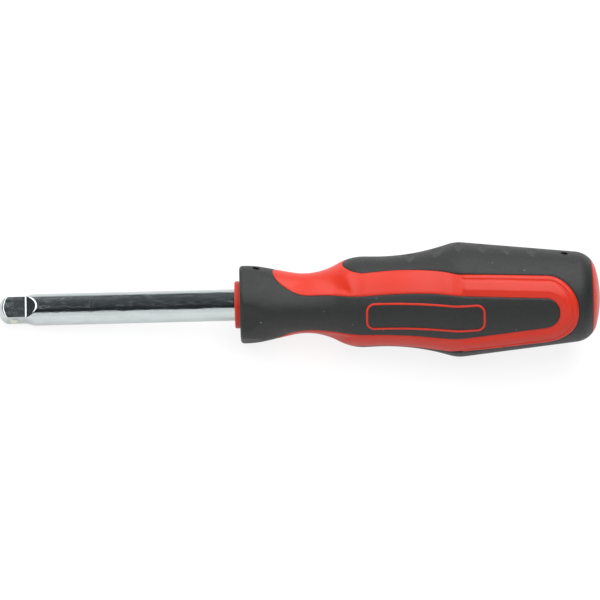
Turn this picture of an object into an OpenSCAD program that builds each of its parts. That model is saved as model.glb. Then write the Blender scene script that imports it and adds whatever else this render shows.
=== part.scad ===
// Spinner handle: a chromed shaft with a male square drive and a detent ball,
// moulded into a contoured grip of red hard plastic and black soft plastic.
// The shaft runs along +X from the middle of the drive's end face, which is the
// origin, and the tool lies on one flat of its collar.

/* [Drive] */
// Square, across its flats
drive_af = 6.3; // [6:0.05:6.6]
// Circle that the square's corners are turned to
drive_corner_d = 8.4; // [8:0.05:8.6]
// Length of the flats
drive_l = 7.5; // [6.5:0.1:9]
// Slope of the run-outs behind the flats
run_out_angle = 26; // [20:1:45]
// End face of the coned nose
nose_d = 4.4; // [3.5:0.1:5]
// Slope of the coned nose, from the axis
nose_angle = 51; // [40:1:60]
// Turn of the square about the axis, from its ball pointing straight down
drive_roll = 67; // [0:1:360]

/* [Detent] */
// Distance of the ball from the end face
ball_at = 4; // [3.5:0.1:4.5]
// Ball diameter
ball_d = 3; // [2.6:0.1:3.2]
// How far the ball stands out of its flat
ball_proud = 0.85; // [0.5:0.05:1]
// Play round the ball in its hole
ball_play = 0.05; // [0.03:0.01:0.1]
// Depth of the staked lip that holds the ball in
lip_l = 0.35; // [0.2:0.05:0.45]
// Steel left under the floor of the ball's hole
floor_t = 1.1; // [0.8:0.1:1.4]
// Wire of the detent spring
wire_d = 0.4; // [0.3:0.05:0.45]
// Turns of the detent spring
spring_turns = 3.5; // [2.5:0.5:3.5]

/* [Shaft] */
// Shaft diameter
shaft_d = 9; // [8.8:0.1:10.8]
// Bare length, from the drive's end face to the nose ring
bare_l = 66.5; // [40:0.5:150]
// Length of the tang inside the handle
tang_l = 52; // [50:1:80]
// Tang diameter
tang_d = 8.6; // [8:0.1:8.7]
// Tang, across the two flats that key it in the handle
key_af = 7; // [6:0.1:8]
// Length of the key flats
key_l = 14; // [8:0.5:15]
// Distance of the key flats behind the nose ring's face
key_at = 30; // [10:0.5:34]
// Chamfer of the tang's end
tang_chamfer = 1; // [0.3:0.1:2]

/* [Handle outline] */
// Collar, across its rounded edges
collar_d = 22.6; // [21.5:0.1:25]
// Depth of the collar's six flats
flat_depth = 0.75; // [0.3:0.05:1]
// Distance from the collar's face to where its taper starts
taper_at = 3; // [2:0.1:5]
// Distance from the collar's face to the corner of the neck
neck_at = 21.5; // [20:0.1:24]
// Diameter at the corner of the neck, before it is rounded
neck_d = 14.94; // [14.5:0.1:17]
// Neck, from panel to panel
neck_panel_d = 21; // [18:0.1:21]
// Neck, from side to side, where it is deeper from panel to panel
neck_side_d = 15.5; // [14:0.1:15.8]
// Distance from the collar's face to the corner of the belly
belly_at = 31.3; // [30.5:0.1:34]
// Diameter at the corner of the belly
belly_d = 25.9; // [24:0.1:30]
// Distance from the collar's face to the corner of the waist
waist_at = 48; // [46:0.1:50]
// Diameter at the corner of the waist
waist_d = 25.07; // [24:0.1:28]
// Distance from the collar's face to the corner of the hip
hip_at = 61.3; // [59:0.1:66]
// Diameter at the corner of the hip
hip_d = 32.8; // [29:0.1:36]
// Distance from the collar's face to the top of the dome
grip_l = 102; // [99:0.1:125]
// Height of the dome, from the corner of the heel
dome_h = 2.3; // [1.8:0.1:4]
// Diameter at the corner of the heel
heel_d = 24.66; // [24:0.1:29]
// Rounding of the collar's front edge
edge_round = 0.6; // [0.2:0.1:1.5]
// Rounding where the collar starts to taper
taper_round = 20; // [5:1:25]
// Rounding of the neck
neck_round = 18.6; // [10:0.1:19]
// Rounding of the belly
belly_round = 10; // [5:0.5:14]
// Rounding of the waist
waist_round = 62; // [30:1:65]
// Rounding of the hip
hip_round = 6.5; // [3:0.5:14]
// Rounding of the heel
heel_round = 6.5; // [4:0.1:6.6]
// Diameter at the corner of the dome
dome_corner_d = 8.06; // [6:0.02:8.5]

/* [Grip zones] */
// Thickness of the soft grip
grip_t = 1.6; // [1:0.1:2]
// Length of the collar up to the neck's red zone
collar_l = 5.9; // [5.5:0.1:7.5]
// Rounding between the collar and the panels
collar_round = 14; // [9:0.5:14.5]
// Half width of a panel where it leaves the collar
panel_front_w = 4.75; // [4:0.05:5.5]
// Distance from the collar's face to the widest point of a panel
panel_wide_at = 58; // [50:0.5:65]
// Half width of a panel at its widest point
panel_w = 6.85; // [5.5:0.05:7.5]
// Distance from a panel's rear end to the top of the dome
panel_end_gap = 11.95; // [10.5:0.1:16]
// Half width of a panel at its rear end
panel_rear_w = 4.2; // [3.6:0.05:5]
// Rounding of a panel at its widest point
panel_wide_round = 80; // [20:1:120]
// Distance from the collar's face to the front corner of the red band
band_front_at = 34.5; // [33:0.5:37]
// Half width of the red band at its front corner
band_front_w = 11.05; // [10.5:0.05:11.4]
// Half width of the red band at the corner of the neck
band_neck_w = 12.4; // [12:0.1:13]
// Rounding of the red band's front corner
band_front_round = 8; // [2:0.5:15]
// Half width of the red band at the widest point of a panel
band_wide_w = 12.15; // [11.5:0.05:13]
// Half width of the red band at its rear end
band_rear_w = 9.4; // [8.5:0.1:10]
// Distance from the red band's rear end to the top of the dome
band_end_gap = 6.6; // [6:0.1:8]
// How far the red band stands out of the soft grip behind the hip
band_proud = 0.3; // [0:0.05:0.6]
// Length behind the hip over which the red band rises
band_rise_l = 6; // [2:0.5:15]
// Roll of the handle about its axis, from its panels upright
lie_roll = 30; // [0:1:90]

/* [Grip details] */
// Number of notches across each side zone
notch_count = 6; // [0:1:7]
// Distance from the collar's face to the first notch
first_notch_at = 48; // [46:0.5:52]
// Distance between notches
notch_pitch = 7; // [5:0.1:7.2]
// Depth of a notch
notch_depth = 0.6; // [0.3:0.05:0.9]
// Width of a notch
notch_w = 2.6; // [1.2:0.1:3]
// Diameter of the moulding-pin holes
pin_hole_d = 2; // [1:0.1:3]
// Depth of the moulding-pin holes
pin_hole_l = 3.6; // [2:0.1:3.8]
// Distance from the collar's face to the front pin holes
front_pin_at = 4.8; // [4:0.1:6]
// Distance from the rear pin holes to the top of the dome
rear_pin_gap = 10; // [9:0.1:12]

/* [Core] */
// Nose ring diameter
ring_d = 13.4; // [13:0.1:15]
// How far the nose ring stands out of the collar
ring_l = 1.5; // [0.8:0.1:3]
// Rounding of the nose ring's edge
ring_round = 0.5; // [0.2:0.1:0.8]
// Wall of the core round the tang
core_wall = 1.7; // [1.2:0.1:2]
// Core diameter behind the neck
core_body_d = 18; // [16.5:0.1:19]
// Distance from the collar's face to where the core starts to widen
core_swell_at = 25; // [22:0.5:27]
// Length over which the core widens
core_swell_l = 8; // [5:0.5:8]
// Diameter of the red end that shows at the rear
dome_d = 20.8; // [19.5:0.1:21]
// Length of the red end, from its shoulder to the top of the dome
dome_l = 5; // [4.5:0.1:6]
// Gap between one moulded shot and the next
mould_gap = 0.05; // [0.04:0.01:0.1]

/* [Hidden] */
$fn = 96;

// Largest angle between two neighbouring points of a rounded corner
arc_step = 8;
// Length by which a cutter runs past what it cuts
past = 1;

collar_x = bare_l + ring_l;
wall_x = collar_x + grip_t;
neck_x = collar_x + neck_at;
hip_x = collar_x + hip_at;
end_x = collar_x + grip_l;
shoulder_x = end_x - dome_l;
panel_end = end_x - panel_end_gap;
core_neck_d = tang_d + 2 * core_wall;
// Rounding that brings the dome level on the axis
dome_round = 0.98 * dome_corner_d / 2 / tan(atan2(dome_h, (heel_d - dome_corner_d) / 2) / 2);
tang_end = bare_l + tang_l;
// Height that clears the whole handle
clear_r = max(hip_d, collar_d, heel_d);

flat_r = drive_af / 2;
ball_r = ball_d / 2;
hole_r = ball_r + ball_play;
ball_seat = flat_r + ball_proud - ball_r;
hole_floor = floor_t - flat_r;
lip_r = sqrt(pow(ball_r, 2) - pow(flat_r - ball_seat, 2)) + ball_play;

coil_r = ball_r - ball_play - wire_d;
spring_top = ball_seat - sqrt(pow(ball_r + wire_d / 2, 2) - pow(coil_r, 2)) - ball_play;
spring_foot = hole_floor + wire_d / 2 + ball_play;
spring_pitch = (spring_top - spring_foot) / spring_turns;
echo(detent_spring_least_gap = spring_pitch - wire_d);

// Corners of the handle's outline: place along the axis, radius, rounding
handle_corners = [
    [collar_x, 0, 0],
    [collar_x, collar_d / 2, edge_round],
    [collar_x + taper_at, collar_d / 2, taper_round],
    [neck_x, neck_d / 2, neck_round],
    [collar_x + belly_at, belly_d / 2, belly_round],
    [collar_x + waist_at, waist_d / 2, waist_round],
    [hip_x, hip_d / 2, hip_round],
    [end_x - dome_h, heel_d / 2, heel_round],
    [end_x, dome_corner_d / 2, dome_round],
    [end_x, 0, 0]
];
form = rounded(handle_corners);

function xy(p) = [p[0], p[1]];
function unit(v) = v / norm(v);
function spun(v, a) = [v[0] * cos(a) - v[1] * sin(a), v[0] * sin(a) + v[1] * cos(a)];

// Points of a path whose inner corners are [x, y, rounding]
function rounded(path) = [
    for (i = [0 : len(path) - 1])
        each path[i][2] == 0 ? [xy(path[i])] : arc_at(path[i - 1], path[i], path[i + 1])
];

// Arc that rounds the corner between two straight runs
function arc_at(before, at, after) =
    let (corner = xy(at))
    let (u = unit(xy(before) - corner))
    let (v = unit(xy(after) - corner))
    let (half = acos(u * v) / 2)
    let (centre = corner + unit(u + v) * at[2] / sin(half))
    let (first = corner + u * at[2] / tan(half) - centre)
    let (turn = sign(cross(-u, v)) * (180 - 2 * half))
    let (steps = max(2, ceil(abs(turn) / arc_step)))
    [for (s = [0 : steps]) centre + spun(first, turn * s / steps)];

// Radius of the handle at a place along it
function form_r(x) = lookup(x, form);

// Outline between two places, let in by a depth
function form_run(from, to, depth) = concat(
    [[from, form_r(from) - depth]],
    [for (p = form) if (p[0] > from && p[0] < to) [p[0], p[1] - depth]],
    [[to, form_r(to) - depth]]
);

// Rear part of the outline, from where it comes in to a radius
function form_tail(r) =
    let (tail = [for (p = form) if (p[0] > hip_x) p])
    concat([[lookup(r, [for (p = tail) [p[1], p[0]]]), r]], [for (p = tail) if (p[1] < r) p]);

// Solid turned from a path of [place, radius], closed along the axis
module turned(path) {
    rotate([0, 90, 0])
        rotate_extrude()
            polygon([for (p = path) [p[1], p[0]]]);
}

// Oval bar that fills the neck under the panels, let in by a depth
module neck_bar(depth) {
    side_r = neck_side_d / 2 - depth;
    fuller = (neck_panel_d - neck_side_d) / 2;
    translate([collar_x + taper_at, 0, 0])
        rotate([90, 0, 90])
            linear_extrude(height = belly_at - taper_at)
                polygon([
                    for (a = [0 : 4 : 356])
                        (side_r + fuller * pow(cos(a), 2)) * [cos(a), sin(a)]
                ]);
}

// Bar with its outline seen from the panels' side, through the whole handle
module through() {
    rotate([90, 0, 0])
        linear_extrude(height = 2 * clear_r, center = true)
            children();
}

// Outline closed by its own mirror image below the axis
module mirrored_outline(upper) {
    count = len(upper);
    polygon(concat(upper, [for (i = [1 : count]) [upper[count - i][0], -upper[count - i][1]]]));
}

// Collar with its two panels, grown all round
module panel_outline(grow) {
    mirrored_outline(rounded([
        [bare_l, clear_r, 0],
        [collar_x + collar_l + grow, clear_r, 0],
        [collar_x + collar_l + grow, panel_front_w + grow, collar_round - grow],
        [collar_x + panel_wide_at, panel_w + grow, panel_wide_round + grow],
        [panel_end + grow, panel_rear_w + grow, panel_rear_w + grow],
        [panel_end + grow, 0, 0]
    ]));
}

// Panel with the red band round it, grown all round
module band_outline(grow) {
    band_end = end_x - band_end_gap;
    mirrored_outline(rounded([
        [bare_l, band_neck_w + grow, 0],
        [neck_x, band_neck_w + grow, 0],
        [collar_x + band_front_at, band_front_w + grow, band_front_round - grow],
        [collar_x + panel_wide_at, band_wide_w + grow, panel_wide_round + grow],
        [band_end + grow, band_rear_w + grow, band_rear_w + grow],
        [band_end + grow, 0, 0]
    ]));
}

// Handle as it lies, on one flat of its collar
module lying() {
    rotate([-lie_roll, 0, 0])
        children();
}

// Drive with its ball pointing where it does, from straight down
module rolled() {
    rotate([-drive_roll, 0, 0])
        children();
}

// Bar along the axis
module bar(from, to, d) {
    translate([from, 0, 0])
        rotate([0, 90, 0])
            cylinder(h = to - from, d = d);
}

// Round stem that points out of the ball's flat, between two heights
module ball_stem(from, to, r_from, r_to) {
    translate([ball_at, 0, -from])
        rotate([180, 0, 0])
            cylinder(h = to - from, r1 = r_from, r2 = r_to);
}

// Blocks beside the two key flats of the tang, drawn in by a gap
module key_blocks(gap) {
    for (side = [0, 180])
        rotate([side, 0, 0])
            translate([bare_l + key_at + gap, -shaft_d, key_af / 2 + gap])
                cube([key_l - 2 * gap, 2 * shaft_d, shaft_d]);
}

// Cutter for one flat of the square and its run-out
module drive_flat_cutter() {
    rise = shaft_d - flat_r;
    rotate([90, 0, 0])
        linear_extrude(height = 2 * shaft_d, center = true)
            polygon([
                [-past, flat_r],
                [drive_l, flat_r],
                [drive_l + rise / tan(run_out_angle), shaft_d],
                [-past, shaft_d]
            ]);
}

// Hole of the ball and its spring, with the lip that keeps the ball in
module ball_hole() {
    ball_stem(hole_floor, flat_r - lip_l, hole_r, hole_r);
    ball_stem(flat_r - lip_l, flat_r, hole_r, lip_r);
    ball_stem(flat_r, flat_r + past, lip_r, lip_r);
}

// Chromed bar with its square drive
module drive_shaft() {
    nose_l = (drive_corner_d - nose_d) / 2 / tan(nose_angle);
    color("silver")
        rolled()
            difference() {
                turned([
                    [0, 0],
                    [0, nose_d / 2],
                    [nose_l, drive_corner_d / 2],
                    [drive_l, drive_corner_d / 2],
                    [drive_l + (shaft_d - drive_corner_d) / 2, shaft_d / 2],
                    [bare_l, shaft_d / 2],
                    [bare_l, tang_d / 2],
                    [tang_end - tang_chamfer, tang_d / 2],
                    [tang_end, tang_d / 2 - tang_chamfer],
                    [tang_end, 0]
                ]);
                for (side = [0 : 3])
                    rotate([90 * side, 0, 0])
                        drive_flat_cutter();
                ball_hole();
                key_blocks(0);
            }
}

// Ball that clicks into a socket
module detent_ball() {
    color("gainsboro")
        rolled()
            translate([ball_at, 0, -ball_seat])
                sphere(d = ball_d);
}

// Coil spring under the ball
module detent_spring() {
    rings = ceil(spring_turns * 12);
    sides = 6;
    points = [
        for (i = [0 : rings])
            let (a = 360 * spring_turns * i / rings)
            let (h = spring_foot + (spring_top - spring_foot) * i / rings)
            for (k = [0 : sides - 1])
                let (b = 360 * k / sides)
                let (r = coil_r + wire_d / 2 * cos(b))
                [ball_at + r * cos(a), r * sin(a), -h - wire_d / 2 * sin(b)]
    ];
    walls = [
        for (i = [0 : rings - 1])
            for (k = [0 : sides - 1])
                let (here = i * sides + k)
                let (next = i * sides + (k + 1) % sides)
                each [[here, next, next + sides], [here, next + sides, here + sides]]
    ];
    foot_cap = [for (k = [1 : sides - 2]) [0, k + 1, k]];
    last = rings * sides;
    top_cap = [for (k = [1 : sides - 2]) [last, last + k, last + k + 1]];
    color("dimgray")
        rolled()
            polyhedron(points = points, faces = concat(walls, foot_cap, top_cap));
}

// First red shot, moulded on the tang, with its nose ring and domed end
module handle_core() {
    color("firebrick")
        rolled()
            difference() {
                turned(core_path(0));
                difference() {
                    bar(bare_l - past, tang_end + mould_gap, tang_d + 2 * mould_gap);
                    key_blocks(mould_gap);
                }
            }
}

// Outline of the core, grown all round
function core_path(grow) = concat(
    rounded([
        [bare_l, 0, 0],
        [bare_l, ring_d / 2 + grow, ring_round],
        [wall_x + grow, ring_d / 2 + grow, 0],
        [wall_x + grow, core_neck_d / 2 + grow, 0],
        [collar_x + core_swell_at, core_neck_d / 2 + grow, 0],
        [collar_x + core_swell_at + core_swell_l, core_body_d / 2 + grow, 0],
        [shoulder_x - grow, core_body_d / 2 + grow, 0],
        [shoulder_x - grow, dome_d / 2 + grow, 0]
    ]),
    form_tail(dome_d / 2 + grow)
);

// Blind holes left by the pins that held the handle in its mould
module pin_holes(x) {
    for (side = [-1, 1])
        translate([x, 0, side * (form_r(x) - pin_hole_l)])
            rotate([side > 0 ? 0 : 180, 0, 0])
                cylinder(h = pin_hole_l + past, d = pin_hole_d);
}

// Second red shot: the neck and the bands round the panels
module hard_shell() {
    color("red")
        lying()
            difference() {
                union() {
                    turned(concat(
                        [[wall_x + mould_gap, 0]],
                        form_run(wall_x + mould_gap, shoulder_x - mould_gap, grip_t + mould_gap),
                        [[shoulder_x - mould_gap, 0]]
                    ));
                    neck_bar(grip_t + mould_gap);
                    intersection() {
                        union() {
                            turned(concat(
                                [for (p = form) if (p[0] < hip_x) p],
                                form_run(hip_x, hip_x + band_rise_l / 2, 0),
                                form_run(hip_x + band_rise_l, shoulder_x, -band_proud),
                                [[shoulder_x, 0]]
                            ));
                            neck_bar(0);
                        }
                        through()
                            difference() {
                                band_outline(-mould_gap);
                                panel_outline(mould_gap);
                            }
                    }
                }
                turned(core_path(mould_gap));
                pin_holes(collar_x + front_pin_at);
                pin_holes(end_x - rear_pin_gap);
            }
}

// Cutter for one flat of the collar and its chamfered front edge
module collar_flat_cutter() {
    height = collar_d / 2 - flat_depth;
    through()
        polygon([
            [bare_l, height - edge_round],
            [collar_x, height - edge_round],
            [collar_x + edge_round, height],
            [neck_x, height],
            [neck_x, clear_r],
            [bare_l, clear_r]
        ]);
}

// Soft collar with its two panels
module front_grip() {
    run_end = panel_end + past;
    color("dimgray")
        lying()
            difference() {
                intersection() {
                    union() {
                        turned(concat(
                            [for (p = form) if (p[0] < run_end) p],
                            [[run_end, form_r(run_end)], [run_end, 0]]
                        ));
                        neck_bar(0);
                    }
                    through()
                        panel_outline(0);
                }
                for (side = [0 : 5])
                    rotate([90 + 60 * side, 0, 0])
                        collar_flat_cutter();
                turned(concat(
                    [[bare_l, 0], [bare_l, ring_d / 2 + mould_gap], [wall_x, ring_d / 2 + mould_gap]],
                    form_run(wall_x, run_end + past, grip_t),
                    [[run_end + past, 0]]
                ));
                neck_bar(grip_t);
                pin_holes(collar_x + front_pin_at);
            }
}

// Straight V cuts across a side zone, which run out where the zone curves away
module notches() {
    if (notch_count > 0)
        for (i = [0 : notch_count - 1], side = [-1, 1]) {
            x = collar_x + first_notch_at + i * notch_pitch;
            foot = form_r(x) - notch_depth;
            flare = notch_w / 2 / notch_depth;
            rotate([side > 0 ? 0 : 180, 0, 0])
                through()
                    polygon([
                        [x, foot],
                        [x + flare * (clear_r - foot), clear_r],
                        [x - flare * (clear_r - foot), clear_r]
                    ]);
        }
}

// Soft side zones, joined round the rear end
module rear_grip() {
    color("dimgray")
        lying()
            difference() {
                turned(concat(
                    [[neck_x, 0]],
                    form_run(neck_x, shoulder_x, 0),
                    [for (p = form) if (p[0] > shoulder_x) p]
                ));
                turned(concat(
                    [[neck_x - past, 0], [neck_x - past, neck_d / 2 - grip_t]],
                    form_run(neck_x, shoulder_x, grip_t),
                    [
                        [shoulder_x, dome_d / 2 + mould_gap],
                        [end_x + past, dome_d / 2 + mould_gap],
                        [end_x + past, 0]
                    ]
                ));
                through()
                    band_outline(0);
                notches();
                pin_holes(end_x - rear_pin_gap);
            }
}

drive_shaft();
detent_ball();
detent_spring();
handle_core();
hard_shell();
front_grip();
rear_grip();
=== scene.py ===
"""Spinner handle: the visual model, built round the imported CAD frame.

Lengths are in millimetres until a mesh is made. The handle is worked out with its panels
facing -Y, as (distance along its outline, angle round the axis), and then rolled as it lies.
"""
import math

import bmesh
import bpy
import numpy as np
from mathutils import Matrix, Vector

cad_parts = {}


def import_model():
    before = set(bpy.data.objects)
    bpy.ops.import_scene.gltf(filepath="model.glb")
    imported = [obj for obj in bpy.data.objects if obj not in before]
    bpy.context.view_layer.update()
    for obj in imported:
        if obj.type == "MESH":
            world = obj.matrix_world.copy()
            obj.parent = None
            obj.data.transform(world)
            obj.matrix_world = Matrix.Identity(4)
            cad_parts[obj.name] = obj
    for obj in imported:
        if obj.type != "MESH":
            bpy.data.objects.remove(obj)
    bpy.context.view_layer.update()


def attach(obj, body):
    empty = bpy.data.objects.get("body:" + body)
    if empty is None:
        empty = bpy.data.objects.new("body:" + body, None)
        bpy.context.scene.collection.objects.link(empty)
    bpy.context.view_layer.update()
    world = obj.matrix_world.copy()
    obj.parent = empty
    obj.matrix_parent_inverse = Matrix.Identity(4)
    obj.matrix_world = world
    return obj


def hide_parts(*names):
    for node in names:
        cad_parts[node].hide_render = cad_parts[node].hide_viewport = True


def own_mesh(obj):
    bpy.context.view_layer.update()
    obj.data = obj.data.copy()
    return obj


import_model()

MM = 0.001
FULL_TURN = 2 * math.pi
FAR = 9.0  # past the reach of every refinement
LIE_ROLL = math.radians(30)  # handle, from its panels facing -Y
DRIVE_ROLL = math.radians(67)  # drive, from its ball facing down

# Handle: places along the axis and radii
COLLAR_X, HIP_X, DOME_X = 68.0, 129.3, 170.0
COLLAR_R, COLLAR_HOLE_R, COLLAR_EDGE_R = 11.3, 6.75, 1.0
RIM_R = 10.46
# Six flats of the collar: how sharp they meet, how they fade on its face, and where they end
FLAT_R, FLAT_EASE, FLAT_FADE, FLATS_END = 10.55, 0.22, 3.5, 90.0

# Handle outline: place along the axis, radius, rounding
HANDLE_CORNERS = [
    (COLLAR_X, COLLAR_HOLE_R, 0.0),
    (COLLAR_X, COLLAR_R, COLLAR_EDGE_R),
    (71.0, COLLAR_R, 20.0),
    (89.5, 7.47, 18.6),
    (99.3, 12.95, 15.0),
    (116.0, 12.535, 62.0),
    (HIP_X, 16.4, 10.0),
    (167.7, 12.33, 6.5),
    (DOME_X, 4.03, 29.27),
    (DOME_X, 0.0, 0.0),
]

# Edges of the collar with its panels, and of the red band, seen from the panels' side
PANEL_CORNERS = [
    (73.9, 40.0, 0.0),
    (73.9, 4.75, 14.0),
    (126.0, 6.85, 80.0),
    (158.05, 4.2, 4.2),
    (158.05, -5.0, 0.0),
]
BAND_CORNERS = [
    (60.0, 12.4, 0.0),
    (89.5, 12.4, 0.0),
    (102.5, 11.05, 8.0),
    (126.0, 12.15, 80.0),
    (163.4, 9.4, 9.4),
    (163.4, -5.0, 0.0),
]

# The neck is oval: slim between its sides, deeper between its panels
NECK_FROM, NECK_SIDE_R, NECK_FULLER = 71.0, 7.75, 2.75
NECK_EASE_FRONT, NECK_EASE_REAR = 1.2, 2.2
NECK_FRONT, NECK_REAR = (NECK_FROM, NECK_FROM + 4), (86, 93)


def unit(v):
    return v / np.linalg.norm(v)


def arc_lengths(path):
    """Distance along a path to each of its points."""
    return np.concatenate([[0], np.cumsum(np.linalg.norm(np.diff(path, axis=0), axis=1))])


def rounded(corners, step=2.0):
    """Points of a path whose corners are (x, y, rounding), a step in degrees apart."""
    points = []
    for i, (x, y, radius) in enumerate(corners):
        corner = np.array((x, y))
        if radius == 0:
            points.append(corner)
            continue
        u = unit(np.array(corners[i - 1][:2]) - corner)
        v = unit(np.array(corners[i + 1][:2]) - corner)
        half = math.acos(float(u @ v)) / 2
        centre = corner + unit(u + v) * radius / math.sin(half)
        first = corner + u * radius / math.tan(half) - centre
        turn = math.copysign(math.pi - 2 * half, u[1] * v[0] - u[0] * v[1])
        steps = max(2, math.ceil(abs(turn) / math.radians(step)))
        for k in range(steps + 1):
            a = turn * k / steps
            c, s = math.cos(a), math.sin(a)
            points.append(centre + (first[0] * c - first[1] * s, first[0] * s + first[1] * c))
    return np.array(points)


def smooth_step(low, high, value):
    t = np.clip((value - low) / (high - low), 0, 1)
    return t * t * (3 - 2 * t)


def smooth_min(a, b, width):
    h = np.clip(0.5 + 0.5 * (b - a) / width, 0, 1)
    return b * (1 - h) + a * h - width * h * (1 - h)


def blend_up(t, width):
    """max(t, 0) with its corner eased over a width."""
    return -smooth_min(-t, np.zeros_like(t), width)


def signed_distance(points, path):
    """Distance from an open path, positive on the left of its direction."""
    best = np.full(len(points), np.inf)
    side = np.ones(len(points))
    for a, b in zip(path[:-1], path[1:]):
        run = b - a
        rel = points - a
        t = np.clip(rel @ run / (run @ run), 0, 1)
        gap = rel - t[:, None] * run
        d2 = (gap * gap).sum(1)
        nearer = d2 < best
        best[nearer] = d2[nearer]
        side[nearer] = np.sign(run[0] * rel[nearer, 1] - run[1] * rel[nearer, 0])
    side[side == 0] = 1
    return np.sqrt(best) * side


# Outline of the handle as a table of arc length, place and radius
PROFILE = rounded(HANDLE_CORNERS, 1.0)
ARC = arc_lengths(PROFILE)
TANGENT = np.gradient(PROFILE, ARC, axis=0)
EDGE_S = float(ARC[np.argmax(PROFILE[:, 0] > COLLAR_X + COLLAR_EDGE_R - 1e-6)])
FACE_S = EDGE_S - COLLAR_EDGE_R * math.pi / 2
TAPER = PROFILE[:, 0] > 140  # well behind the hip, where the radius only falls
RIM_S = float(np.interp(-RIM_R, -PROFILE[TAPER, 1], ARC[TAPER]))
PANEL_PATH = rounded(PANEL_CORNERS)
BAND_PATH = rounded(BAND_CORNERS)


def outline_x(s):
    return np.interp(s, ARC, PROFILE[:, 0])


def outline_r(s):
    return np.interp(s, ARC, PROFILE[:, 1])


def arc_of(x):
    """Arc length at a place behind the collar's front edge."""
    behind = ARC >= EDGE_S
    return np.interp(x, PROFILE[behind, 0], ARC[behind])


def flat_share(params):
    """Radius on the collar, next to the round outline's, with the six flats cut in."""
    s, phi = params.T
    r = outline_r(s)
    off = (phi + math.pi / 6) % (math.pi / 3) - math.pi / 6
    flat = FLAT_R / np.cos(off)
    edge = smooth_min(np.full_like(r, COLLAR_R), flat, FLAT_EASE)
    on_face = 1 + (edge / COLLAR_R - 1) * np.clip((r - COLLAR_HOLE_R) / FLAT_FADE, 0, 1)
    on_side = smooth_min(r, flat, FLAT_EASE) / r
    share = np.where(s < EDGE_S, on_face, on_side)
    return np.where(outline_x(s) > FLATS_END, 1.0, share)


def surface_r(params):
    """Radius of the handle with its oval neck, before the collar's flats."""
    s, phi = params.T
    x, r = outline_x(s), outline_r(s)
    facing = np.cos(phi) ** 2
    oval = NECK_SIDE_R + NECK_FULLER * facing
    ease = NECK_EASE_FRONT * smooth_step(*NECK_FRONT, x)
    ease += NECK_EASE_REAR * smooth_step(*NECK_REAR, x)
    joined = -smooth_min(-r, -oval, 0.01 + ease * facing)
    return np.where((x > NECK_FROM) & (x < HIP_X), joined, r)


def seen_flat(params):
    """Place along the axis and height above it, seen from the panels' side."""
    s, phi = params.T
    return np.column_stack([outline_x(s), np.abs(surface_r(params) * np.sin(phi))])


def to_panel(params):
    """Distance from the edge of the collar and its panels, negative inside it."""
    return signed_distance(seen_flat(params), PANEL_PATH)


def to_band(params):
    """Distance from the outer edge of the red band, negative inside it."""
    return signed_distance(seen_flat(params), BAND_PATH)


def slope(params, field, value):
    """How fast a field grows along the surface, along the outline and round the axis."""
    step = 0.01
    r = surface_r(params)
    along = (field(params + (step, 0)) - value) / step
    turned = params.copy()
    turned[:, 1] += step / r
    return along, (field(turned) - value) / step


def on_surface(params, field):
    """Distance to a field's edge, measured along the surface where it is near."""
    value = field(params)
    near = np.abs(value) < 3.0
    along, around = slope(params[near], field, value[near])
    value[near] /= np.clip(np.hypot(along, around), 0.2, None)
    return value


# Triangles over the surface

def short_turn(a, b):
    """Angle from one place to another, the short way round the axis."""
    return (b[:, 1] - a[:, 1] + math.pi) % FULL_TURN - math.pi


def between(a, b, share):
    """Point between two places on the surface."""
    turn = short_turn(a, b)
    return np.column_stack([a[:, 0] + share * (b[:, 0] - a[:, 0]), a[:, 1] + share * turn])


def split_edges(params, tris, pick_edges):
    """Splits the edges that are picked, at the share given, and the triangles with them."""
    ends = np.sort(tris[:, [[0, 1], [1, 2], [2, 0]]].reshape(-1, 2), axis=1)
    edges, back = np.unique(ends, axis=0, return_inverse=True)
    picked, share = pick_edges(edges)
    fresh = np.full(len(edges), -1)
    fresh[picked] = len(params) + np.arange(picked.sum())
    a, b = params[edges[picked, 0]], params[edges[picked, 1]]
    params = np.vstack([params, between(a, b, share)])
    mids = fresh[back.reshape(-1)].reshape(-1, 3)
    count = (mids >= 0).sum(1)
    made = [tris[count == 0]]
    full = count == 3
    (i, j, k), (m, n, o) = tris[full].T, mids[full].T
    for corner in ((i, m, o), (m, j, n), (o, n, k), (m, n, o)):
        made.append(np.column_stack(corner))
    for turn in range(3):
        t, e = np.roll(tris, -turn, axis=1), np.roll(mids, -turn, axis=1)
        one = (count == 1) & (e[:, 0] >= 0)
        (i, j, k), m = t[one].T, e[one, 0]
        made += [np.column_stack((i, m, k)), np.column_stack((m, j, k))]
        two = (count == 2) & (e[:, 2] < 0)
        (i, j, k), m, n = t[two].T, e[two, 0], e[two, 1]
        for corner in ((m, j, n), (i, m, n), (i, n, k)):
            made.append(np.column_stack(corner))
    return params, np.vstack(made)


def edge_length(params, edges):
    a, b = params[edges[:, 0]], params[edges[:, 1]]
    r = outline_r((a[:, 0] + b[:, 0]) / 2)
    return np.hypot(b[:, 0] - a[:, 0], short_turn(a, b) * r)


def refine(params, tris, field, reach, longest):
    """Halves the edges near a field's zero that are longer than wanted."""
    gap = np.abs(field(params))

    def pick_edges(edges):
        near = np.minimum(gap[edges[:, 0]], gap[edges[:, 1]]) < reach
        return near & (edge_length(params, edges) > longest), 0.5

    return split_edges(params, tris, pick_edges)


def snap(params, field, reach):
    """Moves the points that lie near a field's edge onto it. Returns which ones, too."""
    params = params.copy()
    near = np.flatnonzero(np.abs(field(params)) < 3 * reach)
    value = field(params[near])
    along, around = slope(params[near], field, value)
    steep = np.hypot(along, around)
    near = near[(np.abs(value) < reach * steep) & (steep > 0.15)]
    for _ in range(4):
        value = field(params[near])
        along, around = slope(params[near], field, value)
        steep = along ** 2 + around ** 2
        params[near, 0] -= value * along / steep
        params[near, 1] -= value * around / steep / surface_r(params[near])
    return params, near


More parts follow.
